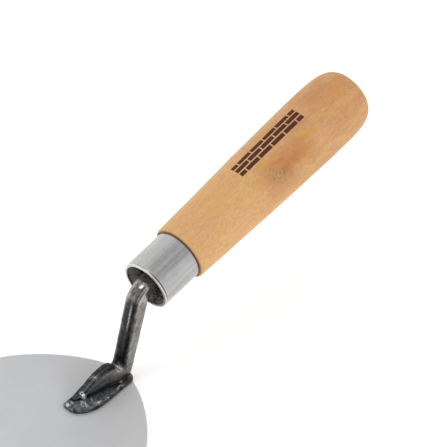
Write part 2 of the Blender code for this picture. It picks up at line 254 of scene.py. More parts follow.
class Nodes:
    """Short calls for the nodes of one tree."""

    def __init__(self, tree):
        self.tree = tree

    def feed(self, socket, value):
        if isinstance(value, bpy.types.NodeSocket):
            self.tree.links.new(value, socket)
        else:
            socket.default_value = value

    def node(self, kind, *values, **settings):
        """A new node; its first sockets take the values or links, in order."""
        made = self.tree.nodes.new("ShaderNode" + kind)
        for key, value in settings.items():
            setattr(made, key, value)
        for socket, value in zip(made.inputs, values):
            self.feed(socket, value)
        return made

    def named(self, made, **values):
        """Gives a node's sockets a value or a link by name; an underscore stands for a space."""
        for name, value in values.items():
            self.feed(made.inputs[name.replace("_", " ")], value)
        return made

    def math(self, operation, *values, clamp=False):
        return self.node("Math", *values, operation=operation, use_clamp=clamp).outputs[0]

    def total(self, *values):
        """The sum of several values."""
        result = values[0]
        for value in values[1:]:
            result = self.math("ADD", result, value)
        return result

    def product(self, *values):
        """The product of several values."""
        result = values[0]
        for value in values[1:]:
            result = self.math("MULTIPLY", result, value)
        return result

    def minus(self, first, second):
        return self.math("SUBTRACT", first, second)

    def away(self, value, middle):
        """How far a value is from a middle, on either side."""
        return self.math("ABSOLUTE", self.minus(value, middle))

    def centred(self, value, factor):
        """A noise value moved so that its middle is 0, times a factor."""
        return self.product(self.minus(value, 0.5), factor)

    def scaled(self, vector, factors):
        return self.node("VectorMath", vector, factors, operation="MULTIPLY").outputs[0]

    def shifted(self, vector, offset):
        return self.node("VectorMath", vector, offset, operation="ADD").outputs[0]

    def split(self, vector):
        return self.node("SeparateXYZ", vector).outputs

    def joined(self, x, y, z=0.0):
        return self.node("CombineXYZ", x, y, z).outputs[0]

    def noise(self, vector, scale, detail=2.0, rough=0.5, warp=0.0):
        """Soft noise around 0.5; the scale is one factor, or one for each axis."""
        if isinstance(scale, tuple):
            vector, scale = self.scaled(vector, scale), 1.0
        made = self.node("TexNoise")
        self.named(made, Vector=vector, Scale=scale, Detail=detail, Roughness=rough, Distortion=warp)
        return made.outputs["Fac"]

    def stretch(self, value, low, high, to_low=0.0, to_high=1.0):
        """Maps low..high to to_low..to_high along a smooth step, and holds the ends."""
        ends = (low, high, to_low, to_high)
        return self.node("MapRange", value, *ends, interpolation_type="SMOOTHSTEP").outputs[0]

    def fall(self, value, low, high):
        """1 up to low, falling to 0 at high."""
        return self.stretch(value, low, high, 1.0, 0.0)

    def mix(self, share, first, second, how="MIX"):
        made = self.node("Mix", data_type="RGBA", blend_type=how)
        self.named(made, Factor=share)
        self.feed(made.inputs[6], first)
        self.feed(made.inputs[7], second)
        return made.outputs[2]

    def tint(self, colour, tone, *shares):
        """The colour moved towards a tone by the product of the shares."""
        return self.mix(self.product(*shares), colour, tone)

    def shade(self, colour, factor):
        """The colour made lighter or darker by a factor near 1."""
        return self.named(self.node("VectorMath", colour, operation="SCALE"), Scale=factor).outputs[0]

    def ramp(self, value, stops):
        """A colour from a row of (place, colour) stops, first and last included."""
        made = self.node("ValToRGB", value)
        elements = made.color_ramp.elements
        elements[0].position, elements[0].color = stops[0]
        elements[-1].position, elements[-1].color = stops[-1]
        for place, colour in stops[1:-1]:
            elements.new(place).color = colour
        return made.outputs["Color"]

    def attribute(self, name):
        return self.node("Attribute", attribute_name=name).outputs["Fac"]


class Finish(Nodes):
    """A node material and its shader."""

    def __init__(self, name):
        self.material = bpy.data.materials.new(name)
        self.material.use_nodes = True
        super().__init__(self.material.node_tree)
        self.shader = self.tree.nodes["Principled BSDF"]

    def set(self, **values):
        self.named(self.shader, **values)

    def bump(self, height, depth, strength=0.5):
        """Fine relief: depth in metres for a height of 0 to 1."""
        made = self.named(self.node("Bump"), Strength=strength, Distance=depth, Height=height)
        self.set(Normal=made.outputs[0])

    def frame_place(self):
        """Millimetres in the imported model's frame."""
        return self.scaled(self.node("TexCoord").outputs["Object"], (MM, MM, MM))

    def handle_place(self):
        """Millimetres from the ferrule's mouth: Z along the handle, -X up, Y to the left."""
        made = self.node("Mapping", vector_type="TEXTURE")
        turn = (0, TAU / 4 - HANDLE_PITCH, 0)
        self.named(made, Location=(MOUTH.x, 0, MOUTH.y), Rotation=turn, Scale=(1 / MM, 1 / MM, 1 / MM))
        self.named(made, Vector=self.node("TexCoord").outputs["Object"])
        return made.outputs[0]


class HandleMap:
    """Places on the handle in mm: along from the mouth, round from the top (left positive), radius."""

    ARC_RADIUS = 16.0

    def __init__(self, f, place):
        self.f = f
        self.down, self.left, self.along = f.split(place)
        turn = f.math("ARCTAN2", self.left, f.product(self.down, -1.0))
        self.round = f.product(turn, self.ARC_RADIUS)
        squared = f.total(f.product(self.down, self.down), f.product(self.left, self.left))
        self.radius = f.math("SQRT", squared)

    def distance(self, along, around, half_along, half_round, turn=0.0, wobble=0.0):
        """0 in the middle of an ellipse and 1 on its rim; turn slants it and wobble frays it."""
        f = self.f
        a = f.minus(self.along, along)
        b = f.minus(self.round, around)
        cos, sin = math.cos(turn), math.sin(turn)
        u = f.total(f.product(a, cos / half_along), f.product(b, sin / half_along))
        v = f.minus(f.product(b, cos / half_round), f.product(a, sin / half_round))
        return f.total(f.math("SQRT", f.total(f.product(u, u), f.product(v, v))), wobble)

    def spot(self, along, around, half_along, half_round, turn, wobble, soft):
        """1 inside an ellipse, falling to 0 over its soft rim."""
        reach = self.distance(along, around, half_along, half_round, turn, wobble)
        return self.f.fall(reach, 1 - soft, 1 + soft)


def blade_finish():
    """Rolled sheet, ground lengthwise to an even satin, with faint smears and fine scratches."""
    f = Finish("satin_blade_steel")
    place = f.frame_place()
    grind = f.noise(place, (0.05, 4.0, 1.0), 4.0, 0.6)
    smear = f.noise(place, (0.030, 0.045, 0.03), 3.0, 0.6)
    scratches = f.stretch(f.noise(place, (0.10, 2.4, 1.0), 0.0), 0.80, 0.86)
    colour = f.mix(f.stretch(smear, 0.3, 0.7), srgb(203, 204, 206), srgb(208, 209, 211))
    colour = f.shade(colour, f.stretch(grind, 0.2, 0.8, 0.975, 1.02))
    colour = f.tint(colour, srgb(232, 233, 235), scratches, 0.25)
    rough = f.total(f.stretch(grind, 0.25, 0.75, 0.50, 0.57), f.stretch(smear, 0.3, 0.7, -0.03, 0.03))
    f.set(Base_Color=colour, Metallic=0.45, Roughness=rough, Anisotropic=0.35, Specular_IOR_Level=0.5)
    f.bump(f.total(grind, scratches), 0.000012)
    return f.material


def forged_finish():
    """Black forge scale on steel: streaked, mottled, straw-brown at the crease, rubbed bright on worn edges,
    with painted shade, painted highlights and painted glints from the stored marks.
    """
    f = Finish("forged_scale")
    place = f.frame_place()
    _, _, height = f.split(place)
    upright = f.stretch(height, 8.0, 14.0)
    neck_streaks = f.noise(place, (0.75, 0.75, 0.07), 3.0, 0.6)
    foot_streaks = f.noise(place, (0.10, 0.60, 0.60), 3.0, 0.6)
    streaks = f.total(foot_streaks, f.product(f.minus(neck_streaks, foot_streaks), upright))
    coarse = f.noise(place, 0.34, 4.0, 0.62, 0.6)
    fine = f.noise(place, 1.2, 4.0, 0.65, 0.4)
    grit = f.noise(place, 3.6, 3.0, 0.6)
    mottle = f.attribute("mottle")
    gloss = f.attribute("gloss")
    patches = f.product(mottle, f.total(f.centred(coarse, 1.5), f.centred(fine, 1.1)))
    level = f.total(f.attribute("tone"), f.centred(streaks, 0.75), patches, f.centred(grit, 0.20))
    colour = f.ramp(level, [(stop, srgb(grey, grey, grey)) for stop, grey in SCALE_GREYS])
    cast = f.mix(upright, srgb(240, 247, 255), srgb(255, 252, 249))
    colour = f.mix(1.0, colour, cast, "MULTIPLY")
    straw = f.product(f.attribute("straw"), f.stretch(coarse, 0.35, 0.6, 0.55, 0.9))
    colour = f.tint(colour, srgb(116, 104, 96), straw)
    # Light grey for worn edges, and for painted highlights on the neck's bevel and at the crease.
    rubbed = f.math("MULTIPLY", f.attribute("rub"), f.stretch(fine, 0.36, 0.58), clamp=True)
    colour = f.tint(colour, srgb(205, 205, 206), rubbed)
    # Bright spatter metal with painted glints, near white.
    glint = f.math("MULTIPLY", f.attribute("glint"), f.stretch(fine, 0.44, 0.60), clamp=True)
    colour = f.tint(colour, srgb(235, 237, 240), glint)
    bright = f.math("MAXIMUM", rubbed, glint)
    polish = f.total(f.product(bright, 0.08), f.product(gloss, 0.10))
    rough = f.minus(f.stretch(fine, 0.3, 0.7, 0.24, 0.38), polish)
    # Less metal where marks are bright, so worn metal, painted highlights and painted glints look light from
    # any side.
    metal = f.minus(0.9, f.total(f.product(bright, 0.45), f.product(straw, 0.25)))
    f.set(Base_Color=colour, Metallic=metal, Roughness=rough)
    relief = f.total(f.product(streaks, 0.8), f.product(fine, mottle), f.product(grit, 0.25))
    f.bump(f.product(relief, f.minus(1.0, f.product(gloss, 0.7))), 0.00022, 0.7)
    return f.material


def ferrule_finish():
    """Drawn steel with a dull plating: draw lines and painted reflection bands along the tube, a painted
    highlight on the lip, painted dark reflection in its groove, stains inside its mouth.
    """
    f = Finish("drawn_ferrule_steel")
    place = f.handle_place()
    surface = HandleMap(f, place)
    along, around = surface.along, surface.round
    lines = f.noise(place, (2.2, 2.2, 0.035), 4.0, 0.6)
    bands = f.noise(place, (0.30, 0.30, 0.010))
    clouds = f.noise(place, 0.22, 4.0, 0.6)
    colour = f.mix(f.stretch(bands, 0.35, 0.65), srgb(184, 184, 182), srgb(200, 200, 201))
    colour = f.shade(colour, f.stretch(lines, 0.28, 0.72, 0.92, 1.05))
    colour = f.shade(colour, f.stretch(clouds, 0.35, 0.65, 0.96, 1.03))
    # Painted reflections: darker and lighter bands along the tube.
    for middle, half, depth in FERRULE_REFLECTION_BANDS:
        reflection_band = f.fall(f.away(around, middle), 0.2 * half, 1.8 * half)
        colour = f.shade(colour, f.minus(1.0, f.product(reflection_band, depth)))
    # Painted highlight on the rounded lip.
    colour = f.tint(colour, srgb(234, 233, 230), f.fall(along, 1.3, 1.9), 0.55)
    # Painted dark reflection: a dark line in the groove, strongest on the right of the tube.
    groove = f.fall(f.away(along, FERRULE_GROOVE * MM), 0.20, 0.42)
    dark_reflection_share = f.stretch(f.away(around, -13.5), 6.0, 13.0, 0.95, 0.35)
    colour = f.tint(colour, srgb(40, 38, 36), groove, dark_reflection_share)
    wall = (FERRULE_RADIUS - FERRULE_WALL) * MM
    inside = f.product(f.fall(surface.radius, wall + 0.2, wall + 0.4), f.stretch(along, 0.9, 1.2))
    clots = f.stretch(f.noise(place, 0.55, 4.0, 0.65), 0.40, 0.62)
    stain = f.product(clots, f.stretch(surface.left, -4.0, 4.0, 1.0, 0.2))
    colour = f.tint(colour, f.mix(stain, srgb(216, 214, 210), srgb(112, 94, 80)), inside)
    rough = f.total(f.stretch(clouds, 0.3, 0.7, 0.27, 0.34), f.stretch(lines, 0.3, 0.7, -0.03, 0.03))
    metal = f.minus(1.0, f.product(inside, 0.75))
    f.set(Base_Color=colour, Metallic=metal, Roughness=rough, Anisotropic=0.3)
    f.bump(lines, 0.00003)
    return f.material


def wood_finish():
    """Oiled pale hardwood: slanting fibres that part round a knot, stains, browner towards the butt."""
    f = Finish("oiled_hardwood")
    place = f.handle_place()
    surface = HandleMap(f, place)
    along, around = surface.along, surface.round
    wobble = f.centred(f.noise(place, 0.45, 3.0, 0.6), 1.3)

    knot_along, knot_round = 83.5, -11.8
    knot = surface.distance(knot_along, knot_round, 6.4, 5.2, wobble=f.product(wobble, 0.3))
    from_knot = f.minus(around, knot_round)
    parting = f.math("DIVIDE", from_knot, f.math("MAXIMUM", f.product(knot, knot), 1.0))
    sideways = f.math("DIVIDE", parting, f.math("MAXIMUM", surface.radius, 1.0))
    bent = f.joined(f.product(surface.left, sideways), f.product(surface.down, sideways, -1.0))
    slant = f.joined(0.0, f.product(along, -0.10))
    flow = f.shifted(f.shifted(place, f.scaled(bent, (-1, -1, 0))), slant)

    clouds = f.noise(f.scaled(place, (1, 1, 0.45)), 0.15, 4.0, 0.6, 0.5)
    patches = f.noise(f.shifted(f.scaled(place, (1, 1, 0.5)), (31.0, 7.0, 3.0)), 0.11, 3.0, 0.55)
    blotches = f.noise(f.shifted(place, (9.0, 3.0, 17.0)), 0.34, 4.0, 0.65, 0.5)
    fibres = f.noise(flow, (2.4, 2.4, 0.26), 4.0, 0.72, 0.35)
    dashes = f.noise(flow, (1.5, 1.5, 0.30), 2.0, 0.6)
    grain = f.noise(flow, (0.55, 0.55, 0.035), 3.0, 0.6)
    pores = f.stretch(f.noise(flow, (6.5, 6.5, 0.55)), 0.60, 0.70)

    colour = f.mix(f.stretch(clouds, 0.38, 0.62), WOOD_YELLOW, WOOD_TAN)
    colour = f.tint(colour, WOOD_ROSY, f.stretch(patches, 0.45, 0.64))
    colour = f.tint(colour, WOOD_GREY, f.stretch(blotches, 0.50, 0.72, 0.0, 0.55))
    butt = f.stretch(along, 60.0, 112.0)
    colour = f.tint(colour, WOOD_BROWN, butt, f.stretch(clouds, 0.35, 0.6, 0.35, 0.85))
    colour = f.shade(colour, f.stretch(grain, 0.3, 0.7, 0.965, 1.025))
    colour = f.shade(colour, f.stretch(fibres, 0.32, 0.68, 0.85, 1.09))
    colour = f.tint(colour, srgb(158, 108, 66), pores, 0.40)
    fleck = f.product(f.stretch(dashes, 0.56, 0.72), f.stretch(along, 50.0, 125.0, 0.35, 1.0))
    colour = f.tint(colour, srgb(172, 120, 74), fleck, 0.60)

    halo = surface.spot(84.0, -11.0, 10.5, 8.5, 0.0, wobble, 0.7)
    colour = f.tint(colour, srgb(180, 127, 80), halo, 0.75)
    heart = surface.spot(81.5, -11.5, 3.4, 4.2, 0.0, f.product(wobble, 0.6), 0.35)
    colour = f.tint(colour, srgb(178, 136, 92), heart, 0.65)
    rings = f.math("SINE", f.product(f.total(knot, f.centred(blotches, 0.35)), TAU * 3.2))
    broken = f.product(f.stretch(rings, 0.45, 1.0), f.stretch(dashes, 0.35, 0.55))
    colour = f.tint(colour, srgb(142, 101, 68), broken, f.fall(knot, 0.9, 1.15), 0.80)
    for *ellipse, strength, tone in WOOD_STAINS:
        colour = f.tint(colour, srgb(*tone), surface.spot(*ellipse, wobble, 0.75), strength)

    burnt = brick_bond(f, surface)
    char = f.mix(f.stretch(fibres, 0.3, 0.7), srgb(62, 26, 14), srgb(88, 44, 28))
    colour = f.tint(colour, char, burnt)

    shoulder = SHOULDER * MM
    bore = BORE_RADIUS * MM
    # The shoulder's edge painted dark brown: end grain, with painted shade in the gap at the ferrule.
    edge = f.stretch(along, shoulder + 0.1, shoulder + 0.5, 0.85, 0.0)
    colour = f.tint(colour, srgb(112, 72, 46), edge)
    # Inside the ferrule's mouth: dirty end grain, partly painted near black as shade, and darker still towards
    # the bore as painted shade.
    grain_and_shade_inside = f.mix(f.stretch(blotches, 0.40, 0.56), srgb(22, 17, 14), srgb(150, 132, 116))
    grain_and_shade_inside = f.tint(grain_and_shade_inside, srgb(12, 10, 9), f.stretch(surface.radius, bore + 1.6, bore + 3.4, 0.85, 0.0))
    grain_and_shade_inside = f.tint(grain_and_shade_inside, srgb(150, 98, 60), f.stretch(along, 8.0, 20.0))
    colour = f.tint(colour, grain_and_shade_inside, f.fall(along, shoulder - 0.02, shoulder + 0.06))
    # Painted shade: the bore painted near black.
    bore_shade = f.product(f.fall(surface.radius, bore, bore + 0.8), f.fall(along, 90.0, 100.0))
    colour = f.tint(colour, srgb(34, 24, 18), bore_shade)

    rough = f.total(f.stretch(fibres, 0.3, 0.7, 0.46, 0.58), f.product(burnt, 0.2))
    f.set(Base_Color=colour, Roughness=rough, Specular_IOR_Level=0.35)
    hollows = f.total(f.product(fleck, 0.5), f.product(pores, 0.7), f.product(burnt, 2.0))
    f.bump(f.minus(fibres, hollows), 0.00007)
    return f.material


def brick_bond(f, surface):
    """A burnt-in strip of running bond along the grip: 1 on the bricks, 0 on the joints and outside."""
    start, end = 68.0, 112.8
    low, high = -1.0, 7.7
    bricks_along = 5
    courses = 3
    joint = 0.75
    soft = 0.12
    made = f.node("TexBrick", offset=0.5, offset_frequency=2, squash=1.0)
    f.named(made, Vector=f.joined(f.minus(surface.along, start), f.minus(surface.round, low)), Scale=1.0)
    f.named(made, Mortar_Size=joint / 2, Mortar_Smooth=0.15)
    f.named(made, Brick_Width=(end - start) / bricks_along, Row_Height=(high - low) / courses)
    within = []
    for value, first, last in ((surface.along, start, end), (surface.round, low, high)):
        half = (last - first - joint) / 2
        within.append(f.fall(f.away(value, (first + last) / 2), half - soft, half + soft))
    return f.math("MULTIPLY", f.minus(1.0, made.outputs["Fac"]), f.product(*within), clamp=True)


def floor_finish():
    """Plain pale paper that glows a little, so that shadows on it stay faint."""
    f = Finish("pale_floor")
    fibre = f.noise(f.frame_place(), 0.02, 3.0)
    colour = f.mix(f.stretch(fibre, 0.3, 0.7), srgb(250, 250, 250), srgb(252, 252, 252))
    f.set(Base_Color=colour, Roughness=0.9, Specular_IOR_Level=0.1)
    f.set(Emission_Color=WHITE, Emission_Strength=0.14)
    return f.material


def arc(centre, radius, start, end, steps):
    """Points on a circle, from one angle to another, both included."""
    turns = (start + (end - start) * i / steps for i in range(steps + 1))
    return [centre + radius * Vector((math.cos(t), math.sin(t))) for t in turns]


def placed(name, data):
    """A new object in the scene."""
    obj = bpy.data.objects.new(name, data)
    bpy.context.scene.collection.objects.link(obj)
    return obj


def baked(edit, name):
    """The edited shape as a mesh."""
    mesh = bpy.data.meshes.new(name)
    edit.to_mesh(mesh)
    edit.free()
    return mesh


def piece(name, mesh, finish, node):
    """A finished mesh that rides on the tool and stands for a node of the model."""
    obj = placed(name, mesh)
    mesh.materials.append(finish)
    mesh.shade_smooth()
    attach(obj, BODY)
    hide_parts(node)


def mesh_of(edit, name):
    """The edited shape as a mesh, without doubled points and with its faces turned outwards."""
    bmesh.ops.remove_doubles(edit, verts=edit.verts, dist=1e-7)
    bmesh.ops.dissolve_degenerate(edit, edges=edit.edges, dist=1e-8)
    bmesh.ops.recalc_face_normals(edit, faces=edit.faces)
    return baked(edit, name)


def bridge(edit, near, far, closed=True):
    """Quads between two rows of equal length."""
    count = len(near)
    for i in range(count if closed else count - 1):
        j = (i + 1) % count
        corners = dict.fromkeys((near[i], near[j], far[j], far[i]))
        if len(corners) > 2:
            edit.faces.new(tuple(corners))


def cubic(a, b, c, d, steps):
    """Points on a cubic curve with its tangents, the last end left out."""
    for i in range(steps):
        t = i / steps
        s = 1 - t
        point = a * s**3 + 3 * b * s * s * t + 3 * c * s * t * t + d * t**3
        tangent = (b - a) * s * s + 2 * (c - b) * s * t + (d - c) * t * t
        yield point, tangent.normalized()


def blade_side():
    """The left half of the blade's outline from heel to point: places and outward directions."""
    low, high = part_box("blade")
    heel = Vector((high.x, 0))
    wide = Vector((high.x - BLADE_WIDEST, high.y))
    point = Vector((low.x, 0))
    steps = 72
    walk = list(cubic(heel, heel + Vector((0, HEEL_CURVE)), wide + Vector((SHOULDER_CURVE, 0)), wide, steps))
    walk += cubic(wide, wide - Vector((FLANK_CURVE, 0)), point + Vector((0, POINT_CURVE)), point, steps)
    walk.append((point, Vector((0, -1))))
    return [(place, Vector((tangent.y, -tangent.x))) for place, tangent in walk]


def make_blade(finish):
    """A flat sheet with rounded edges: strips of quads between its two sides, a rolled edge round them."""
    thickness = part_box("blade")[1].z
    side = blade_side()
    columns = 28
    edge_steps = 4
    upper = []
    for i in range(edge_steps + 1):
        angle = TAU / 4 * i / edge_steps
        inset = BLADE_EDGE_ROUND * (1 - math.sin(angle))
        upper.append((inset, thickness - BLADE_EDGE_ROUND * (1 - math.cos(angle))))
    levels = upper + [(inset, thickness - height) for inset, height in reversed(upper)]
    edit = bmesh.new()
    loops = []
    for inset, height in levels:
        half = [place - outward * inset for place, outward in side]
        loop = half + [Vector((p.x, -p.y)) for p in reversed(half[1:-1])]
        loops.append([edit.verts.new((p.x, p.y, height)) for p in loop])
    for near, far in zip(loops, loops[1:]):
        bridge(edit, near, far)
    for inset, height in (levels[0], levels[-1]):
        rows = []
        for place, outward in side:
            p = place - outward * inset
            shares = (2 * j / columns - 1 for j in range(columns + 1))
            rows.append([edit.verts.new((p.x, p.y * share, height)) for share in shares])
        for near, far in zip(rows, rows[1:]):
            bridge(edit, near, far, closed=False)
    piece("blade_sheet", mesh_of(edit, "blade_sheet"), finish, "blade")


def rounded_rectangle(depth, width, corner):
    """A rounded rectangle around (0, 0): x across the depth, y across the width."""
    corner = min(corner, 0.49 * depth, 0.49 * width)
    points = []
    for quarter, (sx, sy) in enumerate(((1, 1), (-1, 1), (-1, -1), (1, -1))):
        centre = Vector((sx * (depth / 2 - corner), sy * (width / 2 - corner)))
        start = quarter * TAU / 4
        points += arc(centre, corner, start, start + TAU / 4, 8)
    return points


def section(inner, outer, width, corner):
    """A section whose mid-line in the XZ plane runs from inner to outer; its width lies along Y."""
    across = outer - inner
    middle = (inner + outer) / 2
    unit = across.normalized()
    ring = rounded_rectangle(across.length, width, corner)
    return [Vector((middle.x + unit.x * p.x, p.y, middle.y + unit.y * p.x)) for p in ring]


def rounded_corners(corners, radius):
    """A closed outline whose corners are rounded off."""
    steps = 8
    points = []
    for i, corner in enumerate(corners):
        before = corners[i - 1] - corner
        after = corners[(i + 1) % len(corners)] - corner
        start = corner + before.normalized() * min(radius, 0.45 * before.length)
        end = corner + after.normalized() * min(radius, 0.45 * after.length)
        for step in range(steps + 1):
            share = step / steps
            points.append(start.lerp(corner, share).lerp(corner.lerp(end, share), share))
    return points


def tongue_curve():
    """Rows on smooth curves through the tongue's stations: x, right foot, ridge y, z, shoulder y, z."""
    stations = [np.array((x, right, *ridge, *shoulder)) for x, right, ridge, shoulder in TONGUE_STATIONS]
    parts = 6
    last = len(stations) - 1
    rows = []
    for i in range(last):
        a, b, c, d = (stations[min(max(j, 0), last)] for j in range(i - 1, i + 3))
        for step in range(parts):
            t = step / parts
            bend = (2 * a - 5 * b + 4 * c - d) * t**2
            twist = (3 * b - a - 3 * c + d) * t**3
            rows.append(0.5 * (2 * b + (c - a) * t + bend + twist))
    return np.array(rows + [stations[last]])


def tongue_sections(bottom):
    """Upright sections from the tongue's toe to the crease at the neck."""
    rings = []
    for x, right, ridge_y, ridge_z, shoulder_y, shoulder_z in tongue_curve():
        left_foot = (shoulder_y + TONGUE_SPLAY, bottom)
        corners = (left_foot, (shoulder_y, shoulder_z), (ridge_y, ridge_z), (right, bottom))
        rings.append(rounded_corners([Vector((x, *corner)) for corner in corners], TONGUE_CORNER))
    return rings


def tongue_distance(x, y):
    """How far beside the tongue a place on the foot is, negative under the tongue."""
    places, rights, _, _, lefts, _ = tongue_curve().T
    beside = np.maximum(np.interp(x, places, rights) - y, y - np.interp(x, places, lefts))
    return np.maximum(beside, places[0] - x)


def heel_sections(bottom):
    """Sections that fan about the crease's fillet, from upright to level, round the outer corner."""
    pivot = CREASE + CREASE_RADIUS * Vector((-1, 1))
    drop = pivot.y - bottom
    reach = NECK_LOWER.x + CREASE_RADIUS
    turns = 16
    squareness = 4
    rings = []
    for i in range(turns + 1):
        share = i / turns
        down = math.cos(TAU / 4 * share)
        back = math.sin(TAU / 4 * share)
        length = ((down / drop) ** squareness + (back / reach) ** squareness) ** (-1 / squareness)
        direction = Vector((back, -down))
        width = HEEL_WIDTH + (NECK_LOWER.y - HEEL_WIDTH) * share
        corner = TONGUE_CORNER + (NECK_CORNER - TONGUE_CORNER) * share
        rings.append(section(pivot + CREASE_RADIUS * direction, pivot + length * direction, width, corner))
    return rings


def neck_directions():
    """Unit directions in the XZ plane: up the neck, and along the handle."""
    rising = Vector((-math.sin(NECK_LEAN), math.cos(NECK_LEAN)))
    handle = Vector((math.cos(HANDLE_PITCH), math.sin(HANDLE_PITCH)))
    return rising, handle


def neck_sections():
    """The straight neck, the bend with its arc about an inner centre, and the tapered tang."""
    rising, handle = neck_directions()
    cross = rising.x * handle.y - rising.y * handle.x
    corner = rising * ((MOUTH.x * handle.y - MOUTH.y * handle.x) / cross)
    turn = math.acos(rising.dot(handle))
    tangent = NECK_BEND_RADIUS * math.tan(turn / 2)
    bend_start = corner - rising * tangent
    pivot = bend_start + NECK_BEND_RADIUS * Vector((rising.y, -rising.x))
    straight_start = rising * (CREASE.y + NECK_START)
    front = Vector((-rising.y, rising.x))
    stations = []
    straight_steps = 16
    for i in range(straight_steps):
        share = i / straight_steps
        size = NECK_LOWER.lerp(NECK_UPPER, share)
        stations.append((straight_start.lerp(bend_start, share), front, size, NECK_CORNER))
    bend_steps = 18
    for i in range(bend_steps + 1):
        angle = turn * i / bend_steps
        outward = front * math.cos(angle) + rising * math.sin(angle)
        stations.append((pivot + NECK_BEND_RADIUS * outward, outward, NECK_UPPER, NECK_CORNER))
    upward = Vector((-handle.y, handle.x))
    tang_start = corner + handle * tangent
    tang_end = MOUTH + handle * TANG_LENGTH
    tip = Vector((TANG_TIP, TANG_TIP))
    tang_steps = 8
    for i in range(1, tang_steps + 1):
        share = i / tang_steps
        size = NECK_UPPER.lerp(tip, share)
        stations.append((tang_start.lerp(tang_end, share), upward, size, NECK_CORNER * (1 - 0.6 * share)))
    rings = []
    for centre, way, size, rounding in stations:
        half = way * size.x / 2
        rings.append(section(centre + half, centre - half, size.y, rounding))
    return rings


def foot_rings(base):
    """The foot's outline, below and above: square nose, elliptical sweep, rounded heel corners."""
    steps = 40
    turns = (TAU / 4 * i / steps for i in range(steps + 1))
    sweep = [Vector((FOOT_NOSE + FOOT_SWEEP * (1 - math.cos(t)), -FOOT_RIGHT * math.sin(t))) for t in turns]
    nose_corner = Vector((FOOT_NOSE + FOOT_NOSE_ROUND, FOOT_NOSE_LEFT - FOOT_NOSE_ROUND))
    heel_x = FOOT_HEEL - FOOT_HEEL_ROUND
    outline = arc(nose_corner, FOOT_NOSE_ROUND, TAU / 4, TAU / 2, 8) + sweep
    outline += arc(Vector((heel_x, FOOT_HEEL_ROUND - FOOT_HEEL_RIGHT)), FOOT_HEEL_ROUND, -TAU / 4, 0, 10)
    outline += arc(Vector((heel_x, FOOT_HEEL_LEFT - FOOT_HEEL_ROUND)), FOOT_HEEL_ROUND, 0, TAU / 4, 10)
    return [[Vector((p.x, p.y, height)) for p in outline] for height in (base, FOOT_TOP)]


def lofted(edit, rings):
    """A closed skin through a row of rings, with a face at each end."""
    rows = [[edit.verts.new(point) for point in ring] for ring in rings]
    for near, far in zip(rows, rows[1:]):
        bridge(edit, near, far)
    edit.faces.new(rows[0])
    edit.faces.new(rows[-1])


def spatter_beads():
    """Places and radii of the weld spatter on the foot, beside the tongue."""
    draw = np.random.default_rng(41)
    beads = []
    while len(beads) < BEADS:
        x = draw.uniform(FOOT_NOSE + 0.002, FOOT_HEEL - 0.006)
        y = draw.uniform(-FOOT_RIGHT, FOOT_NOSE_LEFT)
        radius = draw.uniform(0.0003, 0.0009)
        run = min((x - FOOT_NOSE) / FOOT_SWEEP, 1)
        rim = -FOOT_RIGHT * math.sqrt(1 - (1 - run) ** 2)
        if tongue_distance(x, y) > 0.0004 and rim + 0.0012 < y < FOOT_NOSE_LEFT - 0.0010:
            beads.append((Vector((x, y, FOOT_TOP - BEAD_SUNK * radius)), radius))
    return beads


def forged_blank():
    """Tongue, neck, tang, foot and spatter as one skin of even quads."""
    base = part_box("blade")[1].z + WELD_LINE
    edit = bmesh.new()
    bottom = base + 0.0006
    lofted(edit, tongue_sections(bottom) + heel_sections(bottom) + neck_sections())
    lofted(edit, foot_rings(base))
    bmesh.ops.recalc_face_normals(edit, faces=edit.faces)
    for place, radius in spatter_beads():
        bmesh.ops.create_icosphere(edit, subdivisions=2, radius=radius, matrix=Matrix.Translation(place))
    blank = placed("forged_blank", baked(edit, "forged_blank"))
    skin = blank.modifiers.new("skin", "REMESH")
    skin.mode = "VOXEL"
    skin.voxel_size = FORGED_VOXEL
    bpy.context.view_layer.update()
    evaluated = blank.evaluated_get(bpy.context.evaluated_depsgraph_get())
    made = bpy.data.meshes.new_from_object(evaluated)
    bpy.data.objects.remove(blank)
    return made


def read(items, name, columns, kind=np.float32):
    """A property of every item of a mesh, one row for each."""
    values = np.empty(len(items) * columns, kind)
    items.foreach_get(name, values)
    return values.reshape(-1, columns)


class Skin:
    """A mesh's points as an array, with averages over each point's neighbours."""

    def __init__(self, mesh):
        self.mesh = mesh
        self.points = read(mesh.vertices, "co", 3).astype(float)
        first, second = read(mesh.edges, "vertices", 2, np.int32).T
        self.near = np.concatenate((first, second))
        self.far = np.concatenate((second, first))
        self.degree = np.maximum(np.bincount(self.near, minlength=len(self.points)), 1)

    def average(self, values):
        if values.ndim == 1:
            return np.bincount(self.near, values[self.far], len(values)) / self.degree
        return np.stack([self.average(column) for column in values.T], 1)

    def relax(self, rounds, share=0.5):
        """Moves the points towards the average of their neighbours."""
        for _ in range(rounds):
            self.points += share * (self.average(self.points) - self.points)

    def normals(self):
        """Directions away from the surface at its points, which are written to the mesh."""
        self.mesh.vertices.foreach_set("co", self.points.astype(np.float32).ravel())
        self.mesh.update()
        return read(self.mesh.vertex_normals, "vector", 3).astype(float)

    def store(self, **marks):
        """Keeps values from 0 to 1 at the points, for the finish to read."""
        for name, values in marks.items():
            layer = self.mesh.attributes.new(name, "FLOAT", "POINT")
            layer.data.foreach_set("value", np.clip(values, 0, 1).astype(np.float32))


def smooth_step(values, low, high):
    """0 up to low, rising to 1 at high."""
    share = np.clip((values - low) / (high - low), 0, 1)
    return share * share * (3 - 2 * share)


def fade(values, low, high):
    """1 up to low, falling to 0 at high."""
    return 1 - smooth_step(values, low, high)


def bell(distance, width):
    """1 at no distance, falling off over the width."""
    return np.exp(-((distance / width) ** 2))


def cloud(points, middle, reach):
    """1 in the middle, falling off over the reach along each axis."""
    return np.exp(-(((points - middle) / reach) ** 2).sum(1))


